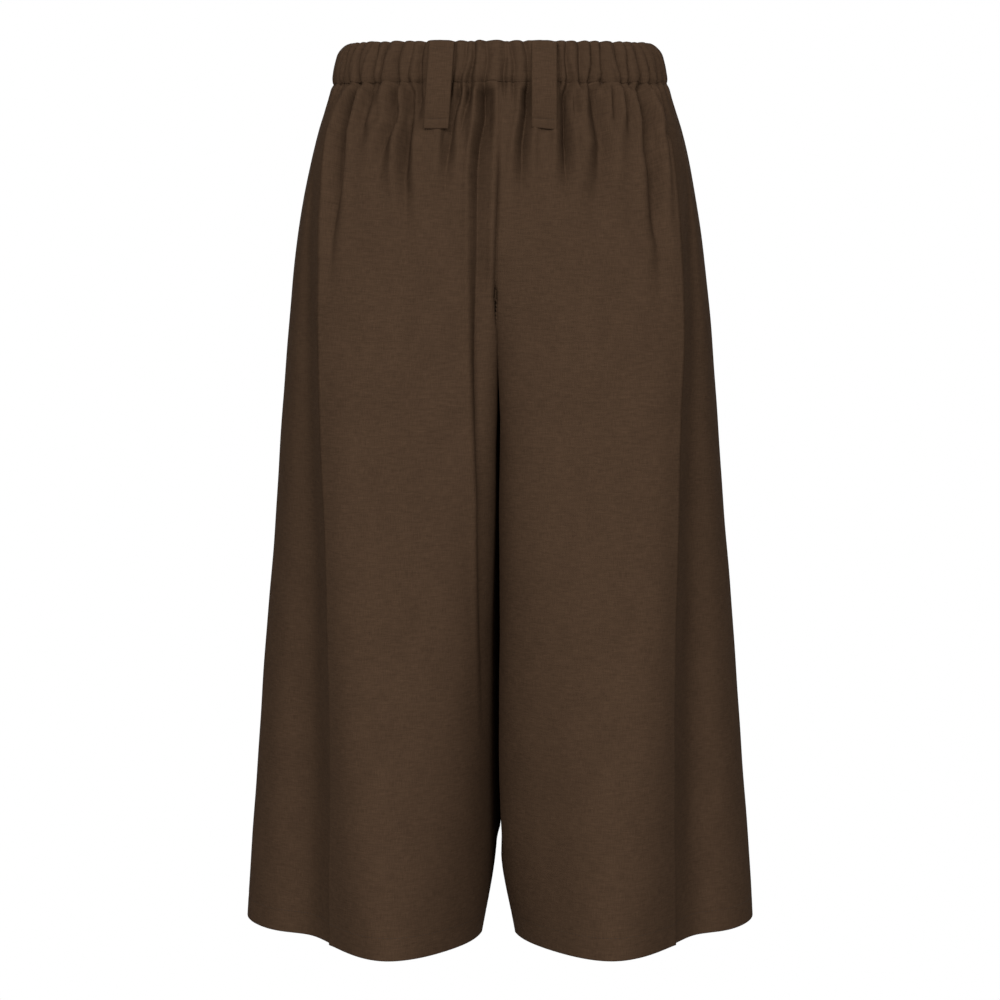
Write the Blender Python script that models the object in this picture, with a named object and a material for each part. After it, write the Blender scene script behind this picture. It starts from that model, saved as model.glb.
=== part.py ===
"""Culottes: wide, calf-length, pull-on trousers, filled out as if worn.

The cloth is a thin wall through sections of each leg. The frame's origin is the centre of the waist
opening, half-way up the waistband. +Z is up, the back of the garment faces -Y, and the wearer's right
is +X. Lengths are in metres; the tables are in millimetres.
"""

from functools import lru_cache

import bmesh
import bpy
import numpy as np

MM = 0.001

# Driving dimensions
LENGTH = 0.720  # from the top of the waistband to the hem
BAND_HEIGHT = 0.035
BAND_WALL = 0.0042  # two layers of cloth, the seam allowances and the elastic between them
CLOTH_WALL = 0.0016
HEM_WALL = 0.0032  # the cloth doubled by its turn-up
HEM_HEIGHT = 0.020
SEAM_GAP = 0.0003
BAND_TOP_REACH = (0.1290, 0.0910)  # half width and half depth of the band at its top edge
BAND_FLARE = (0.0070, 0.0060)  # how much wider and deeper it is at its lower edge
CLEFT_DROP = 0.150  # where the centre seams start to draw in between the legs
CROTCH_DROP = 0.320
CLEFT_CURVE = 2.2  # how late and how fast the centre seams turn in
FRONT_SHARE = 0.93  # the front's depth as a share of the back's
LOOP_WIDTH = 0.020
LOOP_LENGTH = 0.069
LOOP_WALL = 0.0020
LOOP_DROP = 0.0006  # the loops' upper ends, just below the band's top edge
LOOP_STAND_OFF = 0.0076  # how far the middle of a loop stands off the cloth, for a belt

PANEL_COLUMNS = 17
BAND_COLUMNS = 64
BAND_ROWS = 3
LOOP_COLUMNS = 2
LOOP_ROWS = 12

# Half of the back's plan at each level below the top of the waistband, outwards from the centre.
# The cloth runs from the centre seam or inseam through the mouth of the cleft, the shoulder of the
# leg, the crest of its back flute, the ridge at that flute's edge and the trough beside it to the side.
SECTION_COLUMNS = (
    "drop", "side", "centre_y", "parting",
    "mouth_x", "mouth_y", "shoulder_x", "shoulder_y", "crest_x", "crest_y",
    "ridge_x", "ridge_y", "trough_x", "trough_y",
)
SECTIONS = (
    (35, 136.0, 97.0, 0.15, 22, 96.0, 42, 92.5, 66, 85.5, 121, 45, 131, 27),
    (70, 148.5, 106.0, 0.15, 22, 105.5, 43, 103.0, 68, 97.5, 133, 55, 143, 31),
    (110, 157.5, 113.0, 0.15, 21, 113.0, 44, 111.5, 70, 107.5, 139, 69, 150, 38),
    (160, 166.0, 119.0, 0.15, 17, 119.0, 42, 119.0, 72, 117.0, 143, 85, 153, 50),
    (220, 172.5, 124.0, 0.15, 9, 121.0, 37, 125.5, 76, 126.0, 144, 101, 154, 62),
    (290, 178.0, 128.0, 0.15, 5, 120.0, 32, 131.0, 80, 136.0, 142, 113, 153, 72),
    (400, 186.5, 128.0, 1.5, 4, 112.0, 32, 136.0, 84, 148.0, 141, 123, 152, 79),
    (530, 196.5, 128.0, 1.5, 5, 103.0, 35, 140.0, 88, 161.0, 140, 126, 152, 82),
    (650, 205.5, 128.0, 1.5, 9, 92.0, 39, 142.0, 91, 173.0, 139, 122, 153, 83),
    (720, 210.5, 128.0, 14.0, 16, 83.0, 42, 143.0, 92, 180.5, 137, 116, 154, 83),
)
FLUTE_OUT = 0.60  # the side flute's fullest point, as shares of the way from the trough to the side
FLUTE_BACK = 0.72
# Where the lines of the plan lie along it, from the inner edge (0) to the side (1).
LINE_STATIONS = (0.0, 0.20, 0.36, 0.53, 0.71, 0.79, 0.90, 1.0)

# Levels of the panels' rows below the band: first level, last level and number of rows of each zone.
ROW_ZONES = (
    ("yoke", 35.3, 150, 5),
    ("cleft", 150, 320, 8),
    ("leg", 320, 650, 5),
    ("flare", 650, 700, 2),
    ("hem", 700, 720, 1),
)

# The middle of each loop at its top and at its lower end, in millimetres from the centre-back.
LOOPS = (
    ("belt_loop_left", -46.0, -50.5),
    ("belt_loop_right", 35.0, 35.0),
)

WAIST_TOP = BAND_HEIGHT / 2
CLOTH_COLOUR = (0.052, 0.035, 0.022, 1.0)


def clear_scene():
    for old in list(bpy.data.objects):
        bpy.data.objects.remove(old, do_unlink=True)


def make_material(name, colour, roughness):
    material = bpy.data.materials.new(name)
    material.use_nodes = True
    shader = material.node_tree.nodes["Principled BSDF"]
    shader.inputs["Base Color"].default_value = colour
    shader.inputs["Roughness"].default_value = roughness
    shader.inputs["Metallic"].default_value = 0.0
    return material


def level_value(levels, values, at):
    """A smooth value at any level, which never passes outside the two rows around it."""
    steps = np.diff(levels)
    slopes = np.diff(values) / steps
    tangents = np.zeros(len(levels))
    tangents[0] = slopes[0]
    tangents[-1] = slopes[-1]
    for k in range(1, len(slopes)):
        if slopes[k - 1] * slopes[k] > 0:
            tangents[k] = 2 / (1 / slopes[k - 1] + 1 / slopes[k])
    k = int(np.clip(np.searchsorted(levels, at) - 1, 0, len(steps) - 1))
    t = (at - levels[k]) / steps[k]
    rise = (values[k + 1] - values[k]) * (3 * t**2 - 2 * t**3)
    bend = tangents[k] * (t**3 - 2 * t**2 + t) + tangents[k + 1] * (t**3 - t**2)
    return values[k] + rise + bend * steps[k]


@lru_cache(maxsize=None)
def section_at(drop):
    """The named sizes of the plan at a level, in metres."""
    table = np.array(SECTIONS) * MM
    return {
        name: level_value(table[:, 0], table[:, column], drop)
        for column, name in enumerate(SECTION_COLUMNS)
    }


def seam_depth(centre_depth, drop):
    """The centre seam runs down the seat and then turns in to the crotch."""
    way = np.clip((drop - CLEFT_DROP) / (CROTCH_DROP - CLEFT_DROP), 0, 1)
    return centre_depth * (1 - way**CLEFT_CURVE)


@lru_cache(maxsize=None)
def plan_lines(drop):
    """Where the named lines cross the plan at a level: back inner edge, round the side, front inner edge."""
    s = section_at(drop)
    flute_x = s["trough_x"] + FLUTE_OUT * (s["side"] - s["trough_x"])
    outward = (
        (s["parting"], seam_depth(s["centre_y"], drop)),
        (s["mouth_x"], s["mouth_y"]),
        (s["shoulder_x"], s["shoulder_y"]),
        (s["crest_x"], s["crest_y"]),
        (s["ridge_x"], s["ridge_y"]),
        (s["trough_x"], s["trough_y"]),
        (flute_x, FLUTE_BACK * s["trough_y"]),
    )
    back = [(x, -y) for x, y in outward]
    front = [(x, FRONT_SHARE * y) for x, y in reversed(outward)]
    return np.array(back + [(s["side"], 0.0)] + front)


@lru_cache(maxsize=None)
def spline_weights(at):
    """The share of each line's point in a natural cubic spline through all of them, read at one station."""
    back = list(LINE_STATIONS)
    knots = np.array(back + [2 - station for station in reversed(back[:-1])])
    gaps = np.diff(knots)
    count = len(knots)
    system = np.eye(count)
    bends = np.zeros((count, count))
    for k in range(1, count - 1):
        system[k, k - 1 : k + 2] = gaps[k - 1], 2 * (gaps[k - 1] + gaps[k]), gaps[k]
        bends[k, k - 1 : k + 2] = 6 / gaps[k - 1], -6 / gaps[k - 1] - 6 / gaps[k], 6 / gaps[k]
    curvature = np.linalg.solve(system, bends)
    k = int(np.clip(np.searchsorted(knots, at) - 1, 0, count - 2))
    a = (knots[k + 1] - at) / gaps[k]
    b = 1 - a
    points = np.eye(count)
    sag = ((a**3 - a) * curvature[k] + (b**3 - b) * curvature[k + 1]) * gaps[k] ** 2 / 6
    return a * points[k] + b * points[k + 1] + sag


def outer_point(station, drop):
    """A point of the right leg's outer face: station 0 is the back inner edge, 1 the side, 2 the front's."""
    x, y = spline_weights(station) @ plan_lines(drop)
    nearest = section_at(drop)["parting"]
    return np.array((max(x, nearest), y, WAIST_TOP - drop))


def outward(station, drop):
    """The direction that the outer face looks in."""
    across = outer_point(min(station + 0.01, 2), drop) - outer_point(max(station - 0.01, 0), drop)
    down = outer_point(station, drop + MM) - outer_point(station, drop - MM)
    normal = np.cross(down, across)
    return normal / np.linalg.norm(normal)


def wall_at(drop):
    return HEM_WALL if drop > LENGTH - HEM_HEIGHT - 0.1 * MM else CLOTH_WALL


def row_drops():
    drops = [ROW_ZONES[0][1]]
    for _, first, last, count in ROW_ZONES:
        drops.extend(np.linspace(first, last, count + 1)[1:])
    return np.array(drops) * MM


def slab_mesh(name, columns, rows, place, ring=False):
    """A grid one cell thick, whose corners go where place(u, v, w) says.

    u runs across, v down and w inwards, each from 0 to 1. A ring's first and last columns are welded.
    """
    slab = bmesh.new()
    bmesh.ops.create_grid(slab, x_segments=columns, y_segments=rows, size=1)
    sheet = bmesh.ops.extrude_face_region(slab, geom=slab.faces[:], use_keep_orig=True)
    inner = [part for part in sheet["geom"] if isinstance(part, bmesh.types.BMVert)]
    bmesh.ops.translate(slab, verts=inner, vec=(0, 0, -1))
    bmesh.ops.recalc_face_normals(slab, faces=slab.faces)
    if ring:
        ends = [face for face in slab.faces if abs(face.calc_center_median().x) > 0.9999]
        bmesh.ops.delete(slab, geom=ends, context="FACES_ONLY")
    for corner in slab.verts:
        corner.co = place((corner.co.x + 1) / 2, (1 - corner.co.y) / 2, -corner.co.z)
    if ring:
        bmesh.ops.remove_doubles(slab, verts=slab.verts, dist=0.01 * MM)
    if slab.calc_volume(signed=True) < 0:
        bmesh.ops.reverse_faces(slab, faces=slab.faces)
    mesh = bpy.data.meshes.new(name)
    slab.to_mesh(mesh)
    slab.free()
    mesh.shade_smooth()
    mesh.set_sharp_from_angle(angle=np.radians(50))
    return mesh


def add_part(collection, root, mesh):
    part = bpy.data.objects.new(mesh.name, mesh)
    part.parent = root
    part.data.materials.append(make_material(mesh.name, CLOTH_COLOUR, 0.9))
    collection.objects.link(part)


def panel_mesh(name, side, half):
    """One leg panel: side is +1 for the wearer's right, half is -1 for the back and +1 for the front."""
    drops = row_drops()
    rows = len(drops) - 1
    first_station = 0 if half < 0 else 1

    def place(u, v, w):
        station = first_station + u
        drop = drops[int(round(v * rows))]
        point = outer_point(station, drop) - outward(station, drop) * wall_at(drop) * w
        # Each panel keeps to its own quarter, half a seam gap short of its neighbours.
        x = max(point[0], SEAM_GAP / 2)
        y = max(half * point[1], SEAM_GAP / 2)
        z = WAIST_TOP - drop
        return side * x, half * y, z

    return slab_mesh(name, PANEL_COLUMNS, rows, place)


def band_reach(drop):
    """The half width and half depth of the band's outer face, which closes in towards its top edge."""
    way = np.sin(drop / BAND_HEIGHT * np.pi / 2)
    return BAND_TOP_REACH[0] + BAND_FLARE[0] * way, BAND_TOP_REACH[1] + BAND_FLARE[1] * way


def band_mesh():
    def place(u, v, w):
        width, depth = band_reach(v * BAND_HEIGHT)
        angle = 2 * np.pi * u
        depth *= FRONT_SHARE if np.sin(angle) > 0 else 1
        inset = BAND_WALL * w
        z = WAIST_TOP - v * BAND_HEIGHT
        return (width - inset) * np.cos(angle), (depth - inset) * np.sin(angle), z

    return slab_mesh("waistband", BAND_COLUMNS, BAND_ROWS, place, ring=True)


def back_depth(x, drop):
    """How far the back's outer face lies behind the side seams, at a distance from the centre."""
    if drop <= BAND_HEIGHT:
        width, depth = band_reach(drop)
        return depth * np.sqrt(1 - (x / width) ** 2)
    points = [outer_point(station, drop) for station in np.linspace(0, 0.7, 36)]
    return np.interp(abs(x), [point[0] for point in points], [-point[1] for point in points])


def loop_mesh(name, top_x, end_x):
    """A belt loop: flat on the cloth at both ends and standing off between them."""

    def place(u, v, w):
        drop = LOOP_DROP + v * LOOP_LENGTH
        x = (top_x + (end_x - top_x) * v) * MM + (u - 0.5) * LOOP_WIDTH
        ends = back_depth(x, LOOP_DROP) * (1 - v) + back_depth(x, LOOP_DROP + LOOP_LENGTH) * v
        stand_off = SEAM_GAP + LOOP_STAND_OFF * np.sin(np.pi * v)
        return x, -(ends + stand_off + LOOP_WALL * (1 - w)), WAIST_TOP - drop

    return slab_mesh(name, LOOP_COLUMNS, LOOP_ROWS, place)


def main():
    clear_scene()
    collection = bpy.data.collections.new("culottes")
    bpy.context.scene.collection.children.link(collection)
    root = bpy.data.objects.new("culottes_root", None)
    collection.objects.link(root)
    for side, hand in ((1, "right"), (-1, "left")):
        add_part(collection, root, panel_mesh("back_" + hand, side, -1))
        add_part(collection, root, panel_mesh("front_" + hand, side, 1))
    add_part(collection, root, band_mesh())
    for name, top_x, end_x in LOOPS:
        add_part(collection, root, loop_mesh(name, top_x, end_x))


main()
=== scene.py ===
"""Culottes, filled out as if worn: the cloth, its gathers and creases, seams, hems, loops and stitches.

The back of the garment faces -Y and the wearer's right is +X, as in the frame. Lengths are in metres;
the tables are in millimetres. Each panel is a fine sheet on its solid's form, which the same section
table gives, with its folds pressed in or raised along the sheet's own normal.
"""

import math

import bmesh
import bpy
import numpy as np
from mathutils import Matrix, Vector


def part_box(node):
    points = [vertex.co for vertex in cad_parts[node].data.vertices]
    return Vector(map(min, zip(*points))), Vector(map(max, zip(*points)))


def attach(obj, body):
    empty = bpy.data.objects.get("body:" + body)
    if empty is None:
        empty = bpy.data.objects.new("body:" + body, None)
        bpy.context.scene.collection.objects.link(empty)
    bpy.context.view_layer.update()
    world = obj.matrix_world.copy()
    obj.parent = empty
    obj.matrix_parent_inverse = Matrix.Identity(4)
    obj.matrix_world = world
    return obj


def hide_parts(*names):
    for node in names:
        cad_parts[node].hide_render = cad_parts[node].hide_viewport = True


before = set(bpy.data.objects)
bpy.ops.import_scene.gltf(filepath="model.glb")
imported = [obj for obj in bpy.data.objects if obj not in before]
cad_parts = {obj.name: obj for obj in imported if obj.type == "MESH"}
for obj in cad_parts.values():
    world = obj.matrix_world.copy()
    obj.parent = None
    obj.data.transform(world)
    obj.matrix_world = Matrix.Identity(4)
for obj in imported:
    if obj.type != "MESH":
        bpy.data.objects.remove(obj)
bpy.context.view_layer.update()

MM = 0.001

# ---------------------------------------------------------------- sizes shared with the frame
band_low, band_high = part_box("waistband")
panel_low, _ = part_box("back_right")
WAIST_TOP = band_high[2]
BAND_HEIGHT = band_high[2] - band_low[2]
LENGTH = WAIST_TOP - panel_low[2]

CLOTH = 0.0007  # thickness of one layer
HEM_ROLL = 0.0009  # radius of the folded lower edge
HEM_LINE = 18 * MM  # how far above the lower edge the hem is stitched
CLEFT_DROP = 0.150  # where the centre seam starts to sink in between the legs
CROTCH_DROP = 0.320  # where it has sunk to the middle, and the legs part
CLEFT_CURVE = 2.2  # above 1, it sinks mostly near the crotch
FRONT_SHARE = 0.93  # the front's depth as a share of the back's
SEAM_GAP = 0.0003
BAND_TOP_REACH = (0.1290, 0.0910)  # half width and half depth of the band at its top edge
BAND_FLARE = (0.0070, 0.0060)  # how much wider and deeper it is at its lower edge

# A leg's plan at a few levels. drop is how far down each is, side half the width, centre_y how deep the
# centre seam lies and parting half the gap between the legs. The rest are the places, outwards and
# backwards, of lines down the leg's back: the cleft's mouth, the leg's shoulder and crest, and the
# ridge and trough of the flute at its side.
SECTION_COLUMNS = (
    "drop", "side", "centre_y", "parting",
    "mouth_x", "mouth_y", "shoulder_x", "shoulder_y", "crest_x", "crest_y",
    "ridge_x", "ridge_y", "trough_x", "trough_y",
)
SECTIONS = (
    (35, 136.0, 97.0, 0.15, 22, 96.0, 42, 92.5, 66, 85.5, 121, 45, 131, 27),
    (70, 148.5, 106.0, 0.15, 22, 105.5, 43, 103.0, 68, 97.5, 133, 55, 143, 31),
    (110, 157.5, 113.0, 0.15, 21, 113.0, 44, 111.5, 70, 107.5, 139, 69, 150, 38),
    (160, 166.0, 119.0, 0.15, 17, 119.0, 42, 119.0, 72, 117.0, 143, 85, 153, 50),
    (220, 172.5, 124.0, 0.15, 9, 121.0, 37, 125.5, 76, 126.0, 144, 101, 154, 62),
    (290, 178.0, 128.0, 0.15, 5, 120.0, 32, 131.0, 80, 136.0, 142, 113, 153, 72),
    (400, 186.5, 128.0, 1.5, 4, 112.0, 32, 136.0, 84, 148.0, 141, 123, 152, 79),
    (530, 196.5, 128.0, 1.5, 5, 103.0, 35, 140.0, 88, 161.0, 140, 126, 152, 82),
    (650, 205.5, 128.0, 1.5, 9, 92.0, 39, 142.0, 91, 173.0, 139, 122, 153, 83),
    (720, 210.5, 128.0, 14.0, 16, 83.0, 42, 143.0, 92, 180.5, 137, 116, 154, 83),
)
FLUTE_OUT = 0.60  # the flute's floor, as a share of the way from its trough to the side
FLUTE_BACK = 0.72
# Where each line crosses the panel, from 0 at the centre seam to 1 at the side seam.
LINE_STATIONS = (0.0, 0.20, 0.36, 0.53, 0.71, 0.79, 0.90, 1.0)
GRAIN_STATION = 0.53  # here the cloth's lengthwise threads run straight down

# The two legs hang a little unlike each other. Each row says how far the centre seam, the mouths of
# the cleft and the ridges lie towards the wearer's right of where the even form above has them, and
# how much deeper each leg's edge turns in at the mouth.
SETTLE_COLUMNS = (
    "drop", "seam", "mouth_right", "mouth_left",
    "mouth_right_in", "mouth_left_in", "ridge_right", "ridge_left",
)
SETTLE = (
    (35, -0.4, -0.5, -0.5, 0.0, 0.0, 2.0, -2.0),
    (55, -0.5, -0.8, -0.8, 0.0, 0.0, 2.2, -4.0),
    (90, -0.9, -2.0, -1.5, 0.0, 0.0, 2.2, -3.0),
    (120, -1.8, -3.5, -2.5, 0.0, 0.0, 1.8, -1.0),
    (160, -3.2, -5.0, -3.0, 0.0, 0.0, 0.8, -0.5),
    (190, -3.6, -5.5, -3.2, 3.0, 1.0, 0.8, 0.0),
    (245, -2.2, -5.0, -2.8, 9.0, 3.0, 1.0, 0.5),
    (290, 0.0, -4.4, -2.4, 13.0, 6.0, 0.5, 0.5),
    (330, 2.6, -4.4, -2.6, 14.0, 9.0, 0.0, 1.0),
    (400, 2.8, -4.6, -3.0, 12.0, 12.0, -0.5, 2.5),
    (530, 2.6, -5.8, -4.2, 9.0, 12.0, 0.0, 3.5),
    (612, 2.4, -7.3, -2.6, 6.0, 10.0, 0.5, 3.0),
    (641, 2.6, -6.9, -1.6, 4.0, 9.0, 1.0, 2.5),
    (655, -0.6, -5.6, -1.0, 3.0, 8.0, 2.0, 2.0),
    (685, -0.8, -4.0, -0.2, 0.0, 5.0, 3.5, 1.0),
    (720, -1.2, -1.4, -0.8, 0.0, 2.0, 5.0, -0.5),
)

# ---------------------------------------------------------------- folds
# Each fold runs down the sheet along a path of (drop, place) pairs, where place is how far it lies
# from the centre, towards the wearer's right, as seen from straight behind. depth is how far it is
# pressed in (negative stands out), width its reach to each side, start and end where it begins and
# fades, and edge how sharp its bottom is, from 0, round, to 1, a crease. lean, where there is one, is
# how many times wider its side towards the centre is.
FOLD_COLUMNS = ("path", "depth", "width", "start", "end", "edge", "lean")
WAIST_TIGHT = 0.6  # how much deeper a fold is close under the waistband
TIGHT_ENDS = (70 * MM, 150 * MM)  # between these levels that extra depth dies out
SEAM_HOLD = 0.12  # the share of a fold's depth that the waist seam lets through
HOLD_ENDS = (33 * MM, 43 * MM)
BACK_FOLDS = (
    # left leg
    (((36, -112), (41, -116), (47, -119), (56, -122), (64, -124.5), (72, -127), (92, -128.5), (128, -132),
      (160, -135)), 8.5, 4.6, 34, 215, 0.7),
    (((34, -103), (47, -106), (56, -109), (64, -111)), 4.5, 3.6, 34, 88, 0.5),
    (((34, -85), (47, -86), (56, -84.5), (64, -86), (72, -91), (80, -94), (104, -97)),
     5.2, 4.8, 34, 135, 0.4),
    (((34, -70), (56, -72), (80, -75.5), (104, -76.5), (128, -75)), 7.5, 4.0, 34, 175, 0.7),
    (((34, -65), (47, -63.5), (64, -66)), 4.5, 3.0, 34, 84, 0.6),
    (((34, -39), (56, -42), (80, -45)), 3.6, 3.2, 34, 98, 0.5),
    (((34, -31), (56, -36), (80, -40), (104, -43)), 5.6, 3.6, 34, 140, 0.6),
    (((34, -24), (45, -26), (56, -28.5), (72, -31)), 4.8, 3.0, 34, 92, 0.6),
    (((34, -12), (60, -12), (82, -16.5), (102, -18), (160, -18), (250, -17), (360, -14)),
     8.0, 4.2, 36, 600, 0.6, 2.4),
    # right leg
    (((37, 22), (56, 21.5), (81, 18), (114, 17)), 5.8, 3.8, 34, 150, 0.6),
    (((34, 54), (47, 52), (92, 52)), 7.4, 3.8, 34, 140, 0.6),
    (((34, 60), (56, 60)), 4.2, 3.0, 34, 78, 0.5),
    (((34, 76), (56, 78), (72, 81), (80, 82), (104, 80), (128, 76)), 6.4, 6.4, 34, 170, 0.4),
    (((34, 90), (56, 92)), 4.0, 3.2, 34, 80, 0.5),
    (((34, 101), (56, 105)), 4.4, 3.6, 34, 86, 0.5),
    (((34, 111), (47, 114), (64, 118), (80, 119.5), (104, 122.5), (143, 124), (160, 127)),
     8.0, 5.0, 34, 235, 0.6),
    (((50, 117), (64, 122), (80, 125), (110, 126)), 5.0, 3.4, 48, 165, 0.6),
    (((34, 120), (48, 127), (64, 132)), 5.4, 3.2, 34, 86, 0.6),
)
FRONT_FOLDS = (
    (((37, -118), (80, -126), (140, -131), (220, -134)), 6.0, 6.5, 34, 260, 0.5),
    (((37, -97), (60, -100)), 3.1, 5.0, 34, 92, 0.3),
    (((37, -82), (62, -84), (110, -88)), 4.7, 5.5, 34, 160, 0.5),
    (((37, -64), (58, -65)), 2.9, 4.5, 34, 84, 0.3),
    (((37, -49), (70, -52), (120, -55)), 4.4, 6.0, 34, 170, 0.4),
    (((37, -31), (56, -32)), 2.9, 4.5, 34, 84, 0.3),
    (((37, -15), (60, -17), (100, -19)), 3.8, 5.0, 34, 142, 0.4),
    (((37, 12), (62, 14), (110, 16)), 4.0, 5.0, 34, 156, 0.4),
    (((37, 28), (54, 29)), 2.7, 4.0, 34, 80, 0.3),
    (((37, 43), (66, 46), (104, 49)), 4.5, 5.5, 34, 150, 0.5),
    (((37, 61), (60, 63)), 3.0, 4.5, 34, 92, 0.3),
    (((37, 78), (64, 81), (118, 85)), 5.1, 5.5, 34, 176, 0.5),
    (((37, 95), (56, 98)), 2.7, 4.5, 34, 80, 0.3),
    (((37, 112), (74, 121), (130, 127), (210, 131)), 6.1, 6.5, 34, 250, 0.5),
)

# ---------------------------------------------------------------- section form
def level_values(levels, values, at):
    """Smooth values at many levels, which never pass outside the two rows around each."""
    steps = np.diff(levels)
    slopes = np.diff(values) / steps
    tangents = np.zeros(len(levels))
    tangents[0], tangents[-1] = slopes[0], slopes[-1]
    for k in range(1, len(slopes)):
        if slopes[k - 1] * slopes[k] > 0:
            tangents[k] = 2 / (1 / slopes[k - 1] + 1 / slopes[k])
    k = np.clip(np.searchsorted(levels, at) - 1, 0, len(steps) - 1)
    t = (at - levels[k]) / steps[k]
    rise = (values[k + 1] - values[k]) * (3 * t**2 - 2 * t**3)
    bend = tangents[k] * (t**3 - 2 * t**2 + t) + tangents[k + 1] * (t**3 - t**2)
    return values[k] + rise + bend * steps[k]


def table_columns(table, columns, drops):
    """Every column of a table in millimetres, read at many levels, in metres."""
    rows = np.array(table) * MM
    return {
        name: level_values(rows[:, 0], rows[:, k], drops) for k, name in enumerate(columns)
    }


def plan_lines(drops, side):
    """Where the named lines cross a leg's plan at each level: back inner edge, side, front inner edge.

    x runs outwards on both legs. The second result is the least x that the cloth may reach."""
    s = table_columns(SECTIONS, SECTION_COLUMNS, drops)
    shift = table_columns(SETTLE, SETTLE_COLUMNS, drops)
    hand = "right" if side > 0 else "left"
    seam_x = s["parting"] - SEAM_GAP / 2 + side * shift["seam"]
    mouth_x = s["mouth_x"] + side * shift["mouth_" + hand]
    mouth_y = s["mouth_y"] - shift["mouth_" + hand + "_in"]
    ridge_x = s["ridge_x"] + side * shift["ridge_" + hand]
    trough_x = s["trough_x"] + side * shift["ridge_" + hand]
    way = np.clip((drops - CLEFT_DROP) / (CROTCH_DROP - CLEFT_DROP), 0, 1)
    seam_y = s["centre_y"] * (1 - way**CLEFT_CURVE)
    flute_x = trough_x + FLUTE_OUT * (s["side"] - trough_x)
    outward = (
        (seam_x, seam_y),
        (mouth_x, mouth_y),
        (s["shoulder_x"], s["shoulder_y"]),
        (s["crest_x"], s["crest_y"]),
        (ridge_x, s["ridge_y"]),
        (trough_x, s["trough_y"]),
        (flute_x, FLUTE_BACK * s["trough_y"]),
    )
    back = [np.stack((x, -y), axis=-1) for x, y in outward]
    middle = [np.stack((s["side"], 0 * s["side"]), axis=-1)]
    front = [np.stack((x, FRONT_SHARE * y), axis=-1) for x, y in reversed(outward)]
    return np.stack(back + middle + front, axis=1), np.minimum(seam_x, mouth_x)


def spline_weights(at):
    """The share of each line's point in a natural cubic spline through all of them, a row per station."""
    back = list(LINE_STATIONS)
    knots = np.array(back + [2 - station for station in reversed(back[:-1])])
    gaps = np.diff(knots)
    count = len(knots)
    system = np.eye(count)
    bends = np.zeros((count, count))
    for k in range(1, count - 1):
        system[k, k - 1 : k + 2] = gaps[k - 1], 2 * (gaps[k - 1] + gaps[k]), gaps[k]
        bends[k, k - 1 : k + 2] = 6 / gaps[k - 1], -6 / gaps[k - 1] - 6 / gaps[k], 6 / gaps[k]
    curvature = np.linalg.solve(system, bends)
    k = np.clip(np.searchsorted(knots, at) - 1, 0, count - 2)
    a = ((knots[k + 1] - at) / gaps[k])[:, None]
    b = 1 - a
    points = np.eye(count)
    sag = ((a**3 - a) * curvature[k] + (b**3 - b) * curvature[k + 1]) * gaps[k][:, None] ** 2 / 6
    return a * points[k] + b * points[k + 1] + sag


def form_grid(stations, drops, side):
    """Points of a leg's outer face, a row per level and a column per station, x outwards."""
    lines, least_x = plan_lines(drops, side)
    plan = np.einsum("cl,rlk->rck", spline_weights(stations), lines)
    x = np.maximum(plan[..., 0], least_x[:, None])
    z = np.broadcast_to((WAIST_TOP - drops)[:, None], x.shape)
    return np.stack((x, plan[..., 1], z), axis=-1)


def unit(vectors):
    return vectors / np.maximum(np.linalg.norm(vectors, axis=-1, keepdims=True), 1e-12)


NORMAL_REACH = 1.5 * MM  # how far above and below a point its slope is taken


def form_normals(stations, drops, side):
    """The way that the outer face looks at each point of form_grid."""
    reach = NORMAL_REACH
    lower = form_grid(stations, np.minimum(drops + reach, LENGTH), side)
    upper = form_grid(stations, np.maximum(drops - reach, BAND_HEIGHT), side)
    across = np.gradient(form_grid(stations, drops, side), axis=1)
    return unit(np.cross(lower - upper, across))


def arc_lengths(points):
    steps = np.linalg.norm(np.diff(points, axis=1), axis=-1)
    return np.concatenate((np.zeros((len(points), 1)), np.cumsum(steps, axis=1)), axis=1)


def fade(value, first, last):
    """0 before first, 1 after last, smooth between."""
    t = np.clip((value - first) / (last - first), 0, 1)
    return t * t * (3 - 2 * t)


def fold_profile(s, width, edge):
    """How deep a fold is across its width, 1 at the bottom: round for edge 0, creased for edge 1.

    The cloth beside it stands out a little, as it does where it is pushed aside."""
    q = s / width
    round_bottom = np.exp(-1.4 * q**2)
    creased = np.exp(-1.5 * np.abs(q) ** 1.15)
    lips = 0.28 * np.exp(-1.6 * (np.abs(q) - 1.75) ** 2)
    return (1 - edge) * round_bottom + edge * creased - lips


def press_folds(points, arcs, drops, folds, side):
    """The depth of all folds at each point of a grid, in metres, for the half on this side."""
    depth = np.zeros(arcs.shape)
    for fold in folds:
        f = dict(zip(FOLD_COLUMNS, fold))
        path = np.array(f["path"], float) * MM
        place = side * np.interp(drops, path[:, 0], path[:, 1])
        if place.mean() < 0:
            continue
        start, end = f["start"] * MM, f["end"] * MM
        strength = fade(drops, start - 2 * MM, start + 6 * MM)
        strength = strength * (1 - fade(drops, start + 0.35 * (end - start), end))
        strength = strength * (1 + WAIST_TIGHT * (1 - fade(drops, *TIGHT_ENDS)))
        strength = strength * (SEAM_HOLD + (1 - SEAM_HOLD) * fade(drops, *HOLD_ENDS))
        for row in np.nonzero(strength > 0.001)[0]:
            step = 1 if points[row, 0, 0] < points[row, -1, 0] else -1
            outwards = slice(None, None, step)
            x = np.maximum.accumulate(points[row, outwards, 0])
            centre = np.interp(place[row], x, arcs[row, outwards])
            width = f["width"] * MM * (1 + 0.6 * (drops[row] - start) / (end - start))
            away = arcs[row] - centre
            spread = np.where(away * step < 0, f.get("lean", 1.0), 1.0)
            profile = fold_profile(away / spread, width, f["edge"])
            depth[row] += f["depth"] * MM * strength[row] * profile
    return depth


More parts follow.
